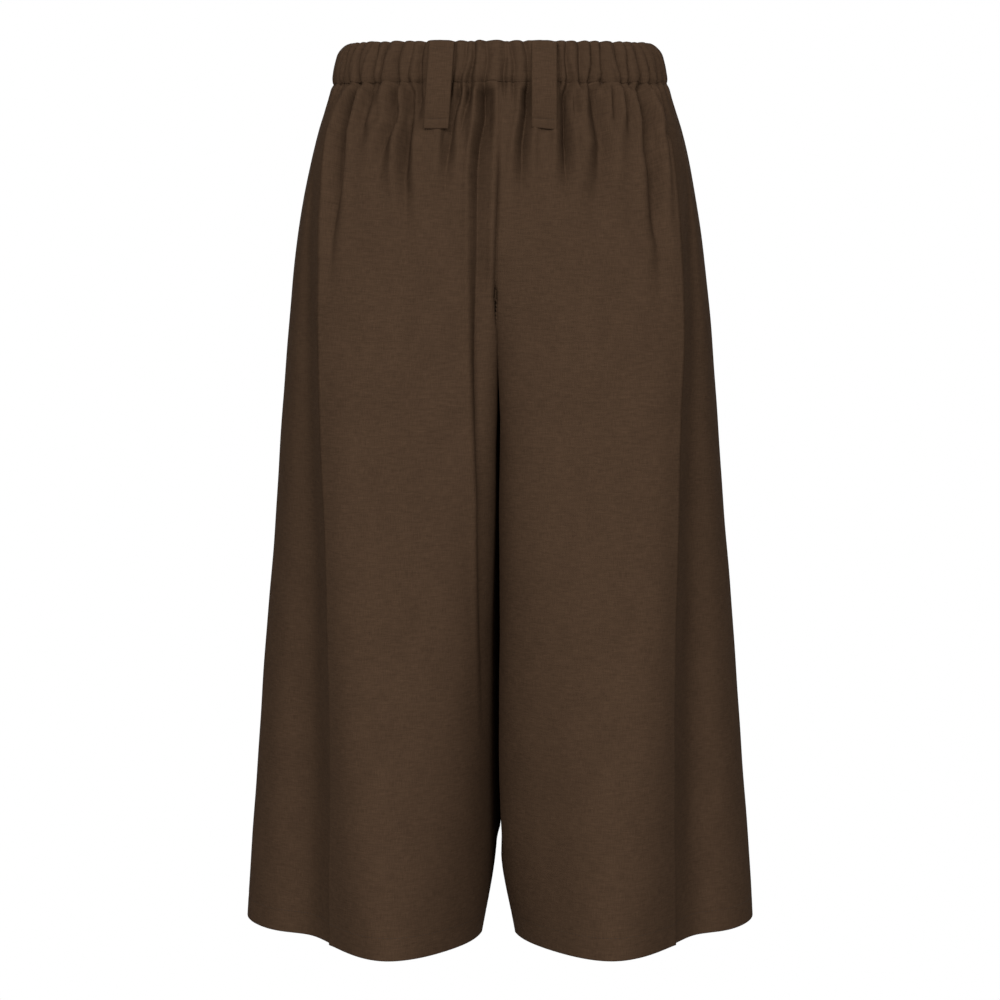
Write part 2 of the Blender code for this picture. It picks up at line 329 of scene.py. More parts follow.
# ---------------------------------------------------------------- gathers of the waist
# Each gather is a pinch across the waistband, which dies out in the cloth below it. top and low are
# its distance from the centre, towards the wearer's right, at the band's two edges; depth is how far
# it is drawn in, width its reach to each side, and run how far it goes on below the band.
GATHER_COLUMNS = ("top", "low", "depth", "width", "run")
BACK_GATHERS = (
    (-128.3, -133.5, 1.5, 2.8, 14), (-125.0, -130.0, 1.2, 2.6, 9), (-121.5, -127.0, 1.5, 2.6, 22),
    (-117.5, -121.8, 1.9, 3.0, 12), (-110.5, -114.6, 1.6, 2.6, 18), (-98.5, -102.7, 1.2, 3.2, 10),
    (-89.4, -97.6, 2.3, 2.2, 16), (-78.0, -84.0, 1.6, 2.8, 12), (-70.0, -73.0, 0.7, 3.0, 8),
    (-60.3, -65.0, 2.3, 2.2, 14), (-35.6, -38.0, 1.5, 2.4, 10), (-25.3, -32.0, 1.5, 2.4, 14),
    (-20.5, -23.7, 2.2, 2.0, 12), (-10.5, -11.5, 1.0, 2.4, 16), (3.8, 4.2, 1.2, 2.4, 8),
    (8.4, 11.5, 1.5, 2.4, 12), (18.9, 24.0, 1.7, 2.4, 14), (45.8, 47.4, 1.3, 2.2, 10),
    (52.9, 54.2, 1.6, 2.4, 14), (62.6, 65.0, 1.9, 2.4, 12), (72.3, 73.0, 1.2, 2.6, 9),
    (81.2, 82.0, 1.6, 2.6, 14), (92.6, 97.4, 2.1, 2.4, 18), (100.0, 104.5, 1.4, 2.4, 10),
    (109.0, 113.6, 1.8, 2.6, 16), (114.5, 121.0, 1.5, 2.6, 12), (121.5, 128.0, 1.7, 2.8, 20),
    (125.8, 132.5, 1.3, 2.6, 10), (128.2, 135.0, 1.4, 2.8, 12),
)
FRONT_GATHERS = (
    (-126.5, -132.0, 1.5, 2.8, 14), (-120.5, -126.0, 1.3, 2.6, 10), (-113.0, -117.5, 1.8, 2.6, 18),
    (-104.0, -108.5, 1.4, 2.6, 12), (-94.5, -99.0, 2.1, 2.4, 16), (-83.0, -86.5, 1.4, 2.8, 10),
    (-74.5, -76.0, 1.8, 2.4, 14), (-64.0, -67.0, 1.5, 2.6, 12), (-51.5, -54.0, 2.0, 2.4, 18),
    (-43.0, -44.0, 1.1, 2.8, 8), (-32.0, -34.5, 1.9, 2.4, 16), (-21.0, -22.0, 1.4, 2.6, 10),
    (-11.0, -12.5, 1.7, 2.4, 14), (3.0, 2.0, 1.2, 2.8, 9), (13.5, 15.0, 2.0, 2.4, 16),
    (24.5, 26.0, 1.4, 2.6, 10), (33.0, 36.0, 1.8, 2.4, 14), (46.0, 48.0, 1.5, 2.6, 12),
    (55.0, 59.0, 2.1, 2.2, 18), (68.5, 70.5, 1.3, 2.8, 9), (77.0, 81.0, 1.8, 2.4, 14),
    (89.0, 92.0, 1.5, 2.6, 12), (98.0, 103.5, 2.0, 2.4, 16), (108.5, 113.0, 1.4, 2.6, 10),
    (116.5, 122.0, 1.7, 2.6, 14), (123.5, 129.5, 1.4, 2.8, 12),
)
PUFF_SHARE = 0.18  # how far the cloth swells between two pinches, as a share of their spacing
PUFF_MOST = 2.2 * MM  # and how far at most
PUFF_RUN = 15 * MM  # how far the swelling goes on below the band
SIDE_CALM = 0.5  # how much smoother the band is at the two sides, where the cloth is less full
PINCH_GAIN = 3.0  # a pinch's depth and width, as shares of its gather's
PINCH_WIDTH = 0.8
PINCH_FORM = 1.2  # 1 gives a pinch a sharp bottom, and 2 a round one
PINCH_MOST = 4.6 * MM  # the deepest that the cloth can be drawn in
SEAM_RISE = 2.4  # millimetres that the sewn edge is drawn up
SEAM_PULL = 0.6  # how much deeper a pinch is where the seam holds it
SEAM_PULL_RUN = 4 * MM  # and how near the seam that is
CRINKLE_LEAN = 0.07  # how far a small crease leans outwards over the band's height, as an angle
# Small creases between the gathers: how many go round the waist, how deep, and where they start.
CRINKLES = ((43, 0.45, 0.3), (67, 0.42, 1.9), (101, 0.32, 4.1), (149, 0.16, 2.6))
PINCH_RADIUS = 0.115  # turns a step in angle into one along the band


def band_reach(drop):
    """The half width and half depth of the band's outer face, which closes in towards its top edge."""
    way = np.sin(drop / BAND_HEIGHT * np.pi / 2)
    return BAND_TOP_REACH[0] + BAND_FLARE[0] * way, BAND_TOP_REACH[1] + BAND_FLARE[1] * way


def gather_angles():
    """Each gather's angle round the waist at the band's two edges, then its depth, width and run."""
    rows = []
    for table, half in ((BACK_GATHERS, -1), (FRONT_GATHERS, 1)):
        for gather in table:
            g = dict(zip(GATHER_COLUMNS, gather))
            top = half * math.acos(g["top"] * MM / BAND_TOP_REACH[0])
            low = half * math.acos(g["low"] * MM / (BAND_TOP_REACH[0] + BAND_FLARE[0]))
            rows.append((top, low, g["depth"] * MM, g["width"] * MM, g["run"] * MM))
    return np.array(sorted(rows))


def seam_wave(angles):
    """How far the seam under the band rises, with the dips where the gathers pull at it."""
    ripple = 0.42 * np.sin(19 * angles + 0.6)
    dips = 0.34 * np.sin(31 * angles + 2.2) * np.sin(7 * angles)
    return (SEAM_RISE + ripple + dips) * MM


def crinkles(angles, way):
    """The small creases between the gathers, which come and go round the waist."""
    lean = CRINKLE_LEAN * np.cos(angles) * np.sign(angles)
    total = 0 * angles
    for count, depth, start in CRINKLES:
        patchy = 0.6 + 0.4 * np.sin((count % 9 + 4) * angles + 3 * way + start)
        total += depth * MM * patchy * np.sin(count * (angles + lean * way) + start + 0.8 * math.sin(4 * way))
    return total


def waist_relief(angles, way, below):
    """How far the gathered cloth stands out: way is 0 to 1 down the band, below the distance under it."""
    gathers = gather_angles()
    marks = gathers[:, 0] + (gathers[:, 1] - gathers[:, 0]) * way
    marks = marks + 0.008 * np.sin(5 * way + 37 * gathers[:, 2] / MM)
    strength = np.exp(-((below / gathers[:, 4]) ** 2))
    to_seam = (1 - way) * BAND_HEIGHT + below
    tightness = PINCH_GAIN * (0.8 + 0.3 * np.sin(2.6 * way + 31 * gathers[:, 2] / MM))
    tightness = tightness * (1 + SEAM_PULL * math.exp(-((to_seam / SEAM_PULL_RUN) ** 2)))
    whole = np.concatenate((marks[-1:] - 2 * np.pi, marks, marks[:1] + 2 * np.pi))
    k = np.clip(np.searchsorted(whole, angles), 1, len(whole) - 1)
    spacing = (whole[k] - whole[k - 1]) * PINCH_RADIUS
    share = (angles - whole[k - 1]) / (whole[k] - whole[k - 1])
    fullness = 1 + 0.3 * np.sin(2.4 * k + 1.5 * way)
    swell = np.minimum(PUFF_SHARE * spacing, PUFF_MOST) * fullness
    swell = swell * np.sin(np.pi * np.clip(share, 0, 1)) ** 0.8
    at_side = 1 - SIDE_CALM * np.cos(angles) ** 8
    left = math.exp(-((below / PUFF_RUN) ** 2))
    relief = (swell + crinkles(angles, way + below / BAND_HEIGHT)) * left * at_side
    for turn in (-2 * np.pi, 0.0, 2 * np.pi):
        away = (angles[:, None] - marks[None, :] - turn) * PINCH_RADIUS
        shape = np.exp(-np.abs(away / (PINCH_WIDTH * gathers[:, 3])) ** PINCH_FORM)
        pinch = tightness * gathers[:, 2] * shape
        relief = relief - (strength * pinch).sum(axis=1)
    return np.where(relief < 0, PINCH_MOST * np.tanh(relief / PINCH_MOST), relief)


# ---------------------------------------------------------------- mesh helpers
def grid_faces(rows, columns, ring=False):
    """The quads of points numbered row by row. A ring's last column joins its first."""
    across = columns if ring else columns - 1
    r, c = np.meshgrid(np.arange(rows - 1), np.arange(across), indexing="ij")
    after = (c + 1) % columns
    quads = (r * columns + c, (r + 1) * columns + c, (r + 1) * columns + after, r * columns + after)
    return np.stack(quads, axis=-1).reshape(-1, 4)


def add_mesh(name, points, faces, material, corners_uv=None):
    mesh = bpy.data.meshes.new(name)
    mesh.from_pydata(points.reshape(-1, 3).tolist(), [], faces)
    if corners_uv is not None:
        layer = mesh.uv_layers.new(name="cloth_grain")
        layer.data.foreach_set("uv", corners_uv.astype(np.float32).ravel())
    mesh.materials.append(material)
    mesh.shade_smooth()
    piece = bpy.data.objects.new(name, mesh)
    bpy.context.scene.collection.objects.link(piece)
    return piece


def zone_drops(zones):
    """Levels for a panel's rows, from (first, last, step) zones in millimetres."""
    levels = [zones[0][0]]
    for first, last, step in zones:
        count = round((last - first) / step)
        levels.extend(np.linspace(first, last, count + 1)[1:])
    return np.array(levels) * MM


def edge_stations(count):
    """Stations across a panel, close together beside its two seams."""
    near = np.array((0.0, 0.0012, 0.003, 0.006, 0.011, 0.018))
    middle = np.linspace(0.026, 1 - 0.026, count - 2 * len(near))
    return np.concatenate((near, middle, 1 - near[::-1]))


# ---------------------------------------------------------------- leg panels
PANEL_TOP = 34.2  # millimetres: a panel starts just inside the band's lower edge
BACK_ZONES = ((PANEL_TOP, 130, 1.25), (130, 350, 3.0), (350, 700, 5.0), (700, 719.1, 2.1))
FRONT_ZONES = ((PANEL_TOP, 130, 1.5), (130, 350, 3.0), (350, 700, 3.8), (700, 719.1, 2.1))
BACK_STATIONS = 200
FRONT_STATIONS = 132
SEAM_SINK = 0.9 * MM  # how far a panel's edge is drawn in along a seam
SEAM_REACH = 1.3 * MM
SEAM_CLEAR = (1 * MM, 8 * MM)  # the folds reach their full depth this far from a seam
SEAM_TURN = 4 * MM  # over which the cloth turns to face as the centre seam does
SEAM_SWINGS = (300 * MM, 335 * MM)  # here the seam stops joining the legs and joins back to front
# The soft valley that the centre seam lies in, above the crotch: how deep, and how wide on each leg.
VALLEY_COLUMNS = ("drop", "depth", "reach_right", "reach_left")
VALLEY = (
    (35, 0.0, 2.0, 2.0),
    (75, 0.2, 2.0, 2.0),
    (110, 2.4, 2.0, 1.8),
    (160, 3.2, 4.5, 2.2),
    (205, 4.6, 8.0, 2.8),
    (260, 4.4, 9.0, 3.2),
    (310, 0.0, 9.0, 3.2),
    (720, 0.0, 8.0, 3.0),
)
WAIST_SINK = 1.1 * MM  # how far a panel is drawn in along the waist seam
WAIST_REACH = 2.6 * MM
GATHERS_END = 80 * MM  # the level by which all gathers have died out
RIDGE_LIFT = 4.6 * MM
RIDGE_RISES = (36 * MM, 60 * MM)  # between these levels the ridge comes up
RIDGE_CALMS = (250 * MM, 560 * MM)  # and between these it loses RIDGE_LOSS of its height
RIDGE_LOSS = 0.7
RIDGE_INNER = 8.0 * MM  # how far the ridge's lift reaches on its inner side, and on its outer side
RIDGE_OUTER = 3.2 * MM
RIDGE_SHIFT = 4.5 * MM  # the crease lies this far inside the form's own round ridge
WALL_TURN = 2.6 * MM  # how quickly the wall beyond the crease drops, and how far on it comes back out
WALL_RUN = 30 * MM
WALL_SHARE = 1.5  # how deep the wall goes, as a share of the ridge's lift
HEM_DIMPLE = 0.14 * MM  # how far the hem's stitches pull it in
HEM_LINE_REACH = 0.9 * MM
HEM_PITCH = 3.2 * MM  # from one hem stitch to the next
SEAM_WAVE_RUN = 9 * MM  # how far below the waist seam its rise and dips still show
BAND_REACH_RUN = 16 * MM  # over which a panel's form comes in to the band's lower edge


def hem_turn():
    """(drop, inset) pairs from the hem's outer face round its folded edge and up its inner layer."""
    turn = [
        (LENGTH - HEM_ROLL + HEM_ROLL * math.sin(a), HEM_ROLL * (1 - math.cos(a)))
        for a in np.linspace(0, math.pi, 8)[1:]
    ]
    rise = [(LENGTH - up * MM, 2 * HEM_ROLL) for up in (5, 10, 15, 18.5, 19.5)]
    return np.array(turn + rise)


def unevenness(points):
    """A slight waviness that no hanging cloth is free of."""
    x, y, z = (points[..., k] for k in range(3))
    slow = 0.55 * np.sin(23 * z + 31 * x + 11 * y + 0.4) * np.sin(17 * x - 9 * z + 1.1)
    quick = 0.16 * np.sin(71 * z - 46 * x + 2.0) * np.sin(58 * x + 37 * y + 23 * z)
    return (slow + quick) * MM


def ridge_relief(points, arcs, drops, side, half):
    """The crisp edge of each side flute, with a steep wall just outside it."""
    lines, _ = plan_lines(drops, side)
    ridge = lines[:, 4 if half < 0 else -5]
    lift = RIDGE_LIFT * fade(drops, *RIDGE_RISES) * (1 - RIDGE_LOSS * fade(drops, *RIDGE_CALMS))
    relief = np.zeros(arcs.shape)
    for row in range(len(drops)):
        nearest = np.argmin(np.hypot(*(points[row, :, :2] - ridge[row]).T))
        away = (arcs[row] - arcs[row, nearest]) * (1 if half < 0 else -1)
        away = away + RIDGE_SHIFT
        crest = np.exp(-np.abs(away) / np.where(away < 0, RIDGE_INNER, RIDGE_OUTER))
        beyond = np.maximum(away, 0)
        wall = (1 - np.exp(-beyond / WALL_TURN)) * np.exp(-beyond / WALL_RUN)
        relief[row] = lift[row] * (crest - WALL_SHARE * wall)
    return relief


def join_band(points, drops, side, half):
    """Brings a panel's top in to the band's lower edge, and returns each column's angle round the waist."""
    width, depth = band_reach(BAND_HEIGHT)
    depth = depth * (FRONT_SHARE if half > 0 else 1)
    angles = np.arctan2(points[0, :, 1] / depth, side * points[0, :, 0] / width)
    seam_line = np.stack((side * width * np.cos(angles), depth * np.sin(angles)), axis=-1)
    to_band = np.exp(-(((drops - drops[0]) / BAND_REACH_RUN) ** 2))[:, None, None]
    points[..., :2] += to_band * (seam_line - points[0, :, :2])
    return angles


def panel_relief(points, arcs, drops, on_face, angles, clear, side, half):
    """How far the cloth stands out from its form: the ridge, folds, gathers, waist seam and hem line."""
    folds = BACK_FOLDS if half < 0 else FRONT_FOLDS
    relief = clear * (
        ridge_relief(points, arcs, drops, side, half) - press_folds(points, arcs, drops, folds, side)
    )
    relief += unevenness(points * (side, 1, 1))
    for row in np.nonzero(drops < GATHERS_END)[0]:
        relief[row] += waist_relief(angles, 1.0, max(0.0, drops[row] - BAND_HEIGHT))
    relief -= (WAIST_SINK * np.exp(-(((drops - PANEL_TOP * MM) / WAIST_REACH) ** 2)))[:, None]
    on_line = np.exp(-(((drops - (LENGTH - HEM_LINE)) / HEM_LINE_REACH) ** 2))[:, None]
    pull = 1 + 0.6 * np.sin(arcs * (2 * np.pi / HEM_PITCH))
    relief -= HEM_DIMPLE * on_line * pull * on_face[:, None]
    return relief


def seam_pull(normals, drops, to_inner, to_side, side):
    """How each point is drawn in towards its panel's seams, and the way that its relief stands out.

    The edges are drawn in within the plane that the two panels share, so that they stay together."""
    seam_way = fade(drops, *SEAM_SWINGS)[:, None, None]
    flat_x, flat_y = normals * (0, 1, 1), normals * (1, 0, 1)
    inner_normals = unit(flat_x * (1 - seam_way) + flat_y * seam_way)
    near_inner = np.exp(-((to_inner / SEAM_REACH) ** 2))[..., None]
    near_side = np.exp(-((to_side / SEAM_REACH) ** 2))[..., None]
    sink = SEAM_SINK * (near_inner * inner_normals + near_side * unit(flat_y))
    valley = table_columns(VALLEY, VALLEY_COLUMNS, drops)
    reach = valley["reach_right" if side > 0 else "reach_left"][:, None]
    sink += (valley["depth"][:, None] * np.exp(-to_inner / reach))[..., None] * inner_normals
    share = fade(to_inner, 0, SEAM_TURN)[..., None]
    return sink, unit(normals * share + inner_normals * (1 - share))


def panel(name, side, half, material):
    """One leg panel: side is +1 for the wearer's right, half is -1 for the back and +1 for the front.

    It also returns the points of its hem line, and the way that the cloth faces there."""
    zones, count = (BACK_ZONES, BACK_STATIONS) if half < 0 else (FRONT_ZONES, FRONT_STATIONS)
    stations = edge_stations(count) + (0 if half < 0 else 1)
    outer = zone_drops(zones)
    turn = hem_turn()
    drops = np.concatenate((outer, turn[:, 0]))
    inset = np.concatenate((0 * outer, turn[:, 1]))
    points = form_grid(stations, drops, side)
    normals = form_normals(stations, drops, side)
    angles = join_band(points, drops, side, half)
    arcs = arc_lengths(points)

    to_first, to_last = arcs, arcs[:, -1:] - arcs
    to_inner, to_side = (to_first, to_last) if half < 0 else (to_last, to_first)
    clear = fade(to_inner, *SEAM_CLEAR) * fade(to_side, *SEAM_CLEAR)
    relief = panel_relief(points, arcs, drops, inset == 0, angles, clear, side, half)
    sink, along = seam_pull(normals, drops, to_inner, to_side, side)
    points = points + along * (relief - inset[:, None])[..., None] - sink
    near_waist = np.exp(-np.maximum(drops - BAND_HEIGHT, 0) / SEAM_WAVE_RUN)
    points[..., 2] += near_waist[:, None] * seam_wave(angles)[None, :]
    points = points * (side, 1, 1)

    faces = grid_faces(len(drops), len(stations))
    if side < 0:
        faces = faces[:, ::-1]
    grain = np.argmin(np.abs(stations - (GRAIN_STATION if half < 0 else 2 - GRAIN_STATION)))
    across = arcs - arcs[:, grain : grain + 1]
    down = np.concatenate((outer, 2 * LENGTH - turn[:, 0]))
    down = np.broadcast_to(down[:, None], across.shape)
    uv = np.stack((side * across, -down), axis=-1).reshape(-1, 2)
    piece = add_mesh(name, points, faces.tolist(), material, uv[faces.ravel()])
    solidify = piece.modifiers.new("Thickness of the cloth", "SOLIDIFY")
    solidify.thickness = CLOTH
    solidify.offset = -1
    row = int(np.argmin(np.abs(outer - (LENGTH - HEM_LINE))))
    return piece, points[row], normals[row] * (side, 1, 1)


# ---------------------------------------------------------------- waistband
BAND_COLUMNS = 1100
BAND_WALL = 4.2 * MM  # the casing and the elastic inside it together
BAND_TOP_ROLL = 2.6 * MM
BAND_LOW_ROLL = 1.0 * MM
BAND_LOW_SINK = 0.8 * MM  # how far the outer face is drawn in along the waist seam, and how near it
BAND_LOW_REACH = 3 * MM
INNER_CALM = 0.45  # how much flatter the elastic holds the inner face
TOP_RELIEF = 0.78  # the gathers' share of their depth at the top edge, and what is added lower down
RELIEF_GROWTH = 0.22
TOP_RIPPLE = 0.35  # how far the top edge rises and dips with the gathers, as a share of their depth
BAND_GRAIN = 1.25  # how much more cloth there is than the band's gathered length
TOP_CURL = 5.5 * MM  # how far the top edge curls in at the sides, and over how much of the band's height
TOP_CURL_DROP = 10 * MM


def band_profile():
    """(drop, inset) points down the outer face, round the lower edge, up the inside and over the top."""
    outer = [(d, 0.0) for d in np.linspace(BAND_TOP_ROLL, BAND_HEIGHT - BAND_LOW_ROLL, 26)]
    arc = np.linspace(0, math.pi / 2, 5)[1:]
    low = [
        (BAND_HEIGHT - BAND_LOW_ROLL * (1 - math.sin(a)), BAND_LOW_ROLL * (1 - math.cos(a))) for a in arc
    ]
    low += [(BAND_HEIGHT, BAND_WALL - 0.8 * MM), (BAND_HEIGHT - 0.8 * MM, BAND_WALL)]
    inner = [(d, BAND_WALL) for d in np.linspace(BAND_HEIGHT - 3 * MM, BAND_TOP_ROLL, 9)]
    over = [
        (BAND_TOP_ROLL * (1 - math.sin(a)), BAND_WALL / 2 + BAND_WALL / 2 * math.cos(a))
        for a in np.linspace(0, math.pi, 11)[1:-1]
    ]
    return np.array(outer + low + inner + over)


def waistband(material):
    profile = band_profile()
    angles = np.linspace(-np.pi, np.pi, BAND_COLUMNS, endpoint=False)
    rows = []
    for drop, inset in profile:
        way = np.clip(drop / BAND_HEIGHT, 0, 1)
        width, depth = band_reach(drop)
        depth = np.where(angles > 0, FRONT_SHARE, 1) * depth
        share = 1 - INNER_CALM * inset / BAND_WALL
        near_seam = math.exp(-(((BAND_HEIGHT - drop) / BAND_LOW_REACH) ** 2))
        sink = BAND_LOW_SINK * near_seam * (1 - inset / BAND_WALL)
        fullness = TOP_RELIEF + RELIEF_GROWTH * math.sin(math.pi / 2 * way)
        relief = waist_relief(angles, way, 0.0) * share * fullness
        rounding = TOP_CURL * np.abs(np.cos(angles)) ** 6 * max(0.0, 1 - drop / TOP_CURL_DROP) ** 2
        reach = relief - inset - sink - rounding
        z = WAIST_TOP - drop + seam_wave(angles) * way**3 + TOP_RIPPLE * relief * (1 - way) ** 8
        x = (width + reach) * np.cos(angles)
        y = (depth + reach) * np.sin(angles)
        rows.append(np.stack((x, y, np.broadcast_to(z, x.shape)), axis=-1))
    rows.append(rows[0])
    points = np.array(rows)
    count = len(profile)
    faces = grid_faces(count + 1, BAND_COLUMNS, ring=True)
    down = np.concatenate(((0,), np.cumsum(np.hypot(*np.diff(profile, axis=0).T)), (0,)))
    down[-1] = down[-2] + 0.5 * MM
    corner_row, corner_column = faces // BAND_COLUMNS, faces % BAND_COLUMNS
    past_end = (corner_column == 0) & (corner_column.max(axis=1) > 1)[:, None]
    wrapped = corner_column + BAND_COLUMNS * past_end
    around = wrapped * (2 * np.pi / BAND_COLUMNS) * PINCH_RADIUS * BAND_GRAIN
    uv = np.stack((around, -down[corner_row]), axis=-1).reshape(-1, 2)
    faces = faces % (count * BAND_COLUMNS)
    return add_mesh("waistband_gathered", points[:-1], faces.tolist(), material, uv)


# ---------------------------------------------------------------- belt loops
LOOP_WIDTH = 20 * MM
LOOP_WALL = 1.7 * MM
LOOP_STAND_OFF = 6.4 * MM
LOOP_LIFT = 1.1 * MM  # clears the puffs of the band at the loop's two ends
LOOP_ROWS = 96
# A loop's rows close to its top end, as shares of its length, and how thick it is there.
LOOP_TIP = ((0.0, 0.55), (0.006, 0.85))
LOOP_COLUMNS = ("name", "node", "top_x", "end_x", "end_tilt")
LOOPS = (
    ("belt_loop_left_strap", "belt_loop_left", -46.0, -50.5, 0.0),
    ("belt_loop_right_strap", "belt_loop_right", 35.0, 35.0, 2.2),
)
LOOP_STITCHES = (5.5, 61.5)  # rows of stitching across a loop, down from its top
STITCH_DENT = 0.34  # the share of a loop's thickness that its stitches press in
STITCH_REACH = 0.9 * MM


def back_depth(x, drop):
    """How far the back's outer face lies behind the side seams, at a distance from the centre."""
    if drop <= BAND_HEIGHT:
        width, depth = band_reach(drop)
        return depth * math.sqrt(1 - (x / width) ** 2)
    side = 1 if x > 0 else -1
    line = form_grid(np.linspace(0, 0.7, 60), np.array([drop]), side)[0]
    return float(np.interp(abs(x), line[:, 0], -line[:, 1]))


def loop_profile(count=9, corner=4):
    """(across, out) shares round a loop's cross-section, from -1 to 1: two flat faces and round edges."""
    lip = LOOP_WALL / LOOP_WIDTH
    face = np.linspace(-1 + lip, 1 - lip, count)
    outer = [(a, 1.0) for a in face]
    turn = np.linspace(math.pi / 2, -math.pi / 2, corner + 2)[1:-1]
    right = [(1 - lip + lip * math.cos(t), math.sin(t)) for t in turn]
    inner = [(a, -1.0) for a in face[::-1]]
    left = [(-a, out) for a, out in reversed(right)]
    return np.array(outer + right + inner + left)


def belt_loop(row, material):
    """One belt loop, with its row as named values and the lines that its stitches follow."""
    loop = dict(zip(LOOP_COLUMNS, row))
    low_box, high_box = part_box(loop["node"])
    length = high_box[2] - low_box[2]
    top = WAIST_TOP - high_box[2]
    profile = loop_profile()
    dents = [level * MM for level in LOOP_STITCHES]

    def place(u, v, out):
        """u is -1 to 1 across, v 0 to 1 down, and out -1 to 1 through the strap."""
        middle = (loop["top_x"] + (loop["end_x"] - loop["top_x"]) * v) * MM
        x = middle + u * LOOP_WIDTH / 2
        drop = top + v * length + loop["end_tilt"] * MM * u * 0.5 * v**6
        ends = back_depth(middle, top) * (1 - v) + back_depth(middle, top + length) * v
        # Both ends follow the round of the waist a little.
        ends -= 0.0008 * u * u + (x - middle) * 0.10 * (middle / 0.13)
        stand_off = LOOP_LIFT + LOOP_STAND_OFF * math.sin(math.pi * v)
        dent = sum(math.exp(-(((v * length - level) / STITCH_REACH) ** 2)) for level in dents)
        edge = math.exp(-(((abs(u) - 0.86) / 0.05) ** 2))
        swell = 0.16 * MM * (1 - u * u) * math.sin(9 * v + 0.7) - 0.10 * MM * edge
        wall = LOOP_WALL * (0.5 + 0.5 * out) * (1 - STITCH_DENT * min(dent, 1))
        return x, -(ends + stand_off + wall + (swell if out > 0 else 0)), WAIST_TOP - drop

    tip, thin = np.array(LOOP_TIP).T
    levels = np.concatenate((tip, np.linspace(0.015, 0.985, LOOP_ROWS - 4), (1 - tip)[::-1]))
    thickness = np.concatenate((thin, np.ones(LOOP_ROWS - 4), thin[::-1]))
    points = np.array([
        [place(u, v, out * thick) for u, out in profile] for v, thick in zip(levels, thickness)
    ])
    count = len(profile)
    faces = grid_faces(len(levels), count, ring=True)[:, ::-1]
    girth = np.concatenate(((0,), np.cumsum(np.hypot(*np.diff(profile, axis=0).T) * LOOP_WIDTH / 2)))
    column = faces % count
    wrap = (column == 0) & (column.max(axis=1) == count - 1)[:, None]
    around = np.where(wrap, girth[-1] + 0.001, girth[column])
    uv = np.stack((around, -levels[faces // count] * length), axis=-1).reshape(-1, 2)
    piece = add_mesh(loop["name"], points, faces.tolist(), material, uv)
    last = (len(levels) - 1) * count
    close_ends(piece, (range(count), range(last + count - 1, last - 1, -1)))
    rows = []
    for level in LOOP_STITCHES:
        across = np.linspace(-0.9, 0.9, 40)
        v = level * MM / length
        rows.append(np.array([place(u, v, 1.0) for u in across]))
    return piece, loop, rows


def close_ends(piece, rings):
    """Caps a tube's two ends."""
    bm = bmesh.new()
    bm.from_mesh(piece.data)
    bm.verts.ensure_lookup_table()
    for ring in rings:
        bm.faces.new([bm.verts[k] for k in ring])
    bmesh.ops.recalc_face_normals(bm, faces=bm.faces)
    bm.to_mesh(piece.data)
    bm.free()


# ---------------------------------------------------------------- stitches
STITCH_LENGTH = 1.9 * MM
STITCH_STAND_OFF = 0.05 * MM
HEM_THREAD = 0.34 * MM
LOOP_PITCH = 2.6 * MM
LOOP_THREAD = 0.36 * MM


def line_value(place, steps, values):
    """A point or direction part of the way along a line, at this distance from its start."""
    return np.array([np.interp(place, steps, values[:, k]) for k in range(3)])


def stitches(name, lines, pitch, length, width, material):
    """One joined mesh of short raised threads along lines of (points, outward directions)."""
    along = np.array((-1.0, -0.6, 0.0, 0.6, 1.0)) * length / 2
    girth = np.array((0.3, 0.85, 1.0, 0.85, 0.3)) * width / 2
    turn = np.linspace(0, 2 * np.pi, 6, endpoint=False)
    points, faces = [], []
    tube = grid_faces(len(along), len(turn), ring=True)
    last = len(turn) * (len(along) - 1)
    caps = [range(len(turn) - 1, -1, -1), range(last, last + len(turn))]
    for line, outward in lines:
        steps = np.concatenate(((0,), np.cumsum(np.linalg.norm(np.diff(line, axis=0), axis=1))))
        for place in np.arange(pitch, steps[-1] - pitch / 2, pitch):
            centre = line_value(place, steps, line)
            out = unit(line_value(place, steps, outward))
            run = unit(line_value(place + 0.4 * MM, steps, line) - centre)
            beside = np.cross(out, run)
            start = len(points) * len(along) * len(turn)
            around = np.cos(turn)[None, :, None] * beside + 0.6 * np.sin(turn)[None, :, None] * out
            points.append(centre + along[:, None, None] * run + girth[:, None, None] * around)
            faces.extend((tube + start).tolist())
            faces.extend([[k + start for k in cap] for cap in caps])
    return add_mesh(name, np.array(points), faces, material)


# ---------------------------------------------------------------- materials
CLOTH_COLOUR = (0.0605, 0.0358, 0.0214)
THREAD_COLOUR = (0.021, 0.013, 0.008)
YARNS = 1500  # how fine the noise of single yarns is, per metre
SLUBS = 420  # and that of thicker lengths of yarn, and of the cloth's slow mottling
MOTTLES = 38
YARN_STRETCH = 0.09  # how much less it changes along a yarn than across it
RIB_PITCH = 0.00085
WEAVE_HEIGHT = 0.00016


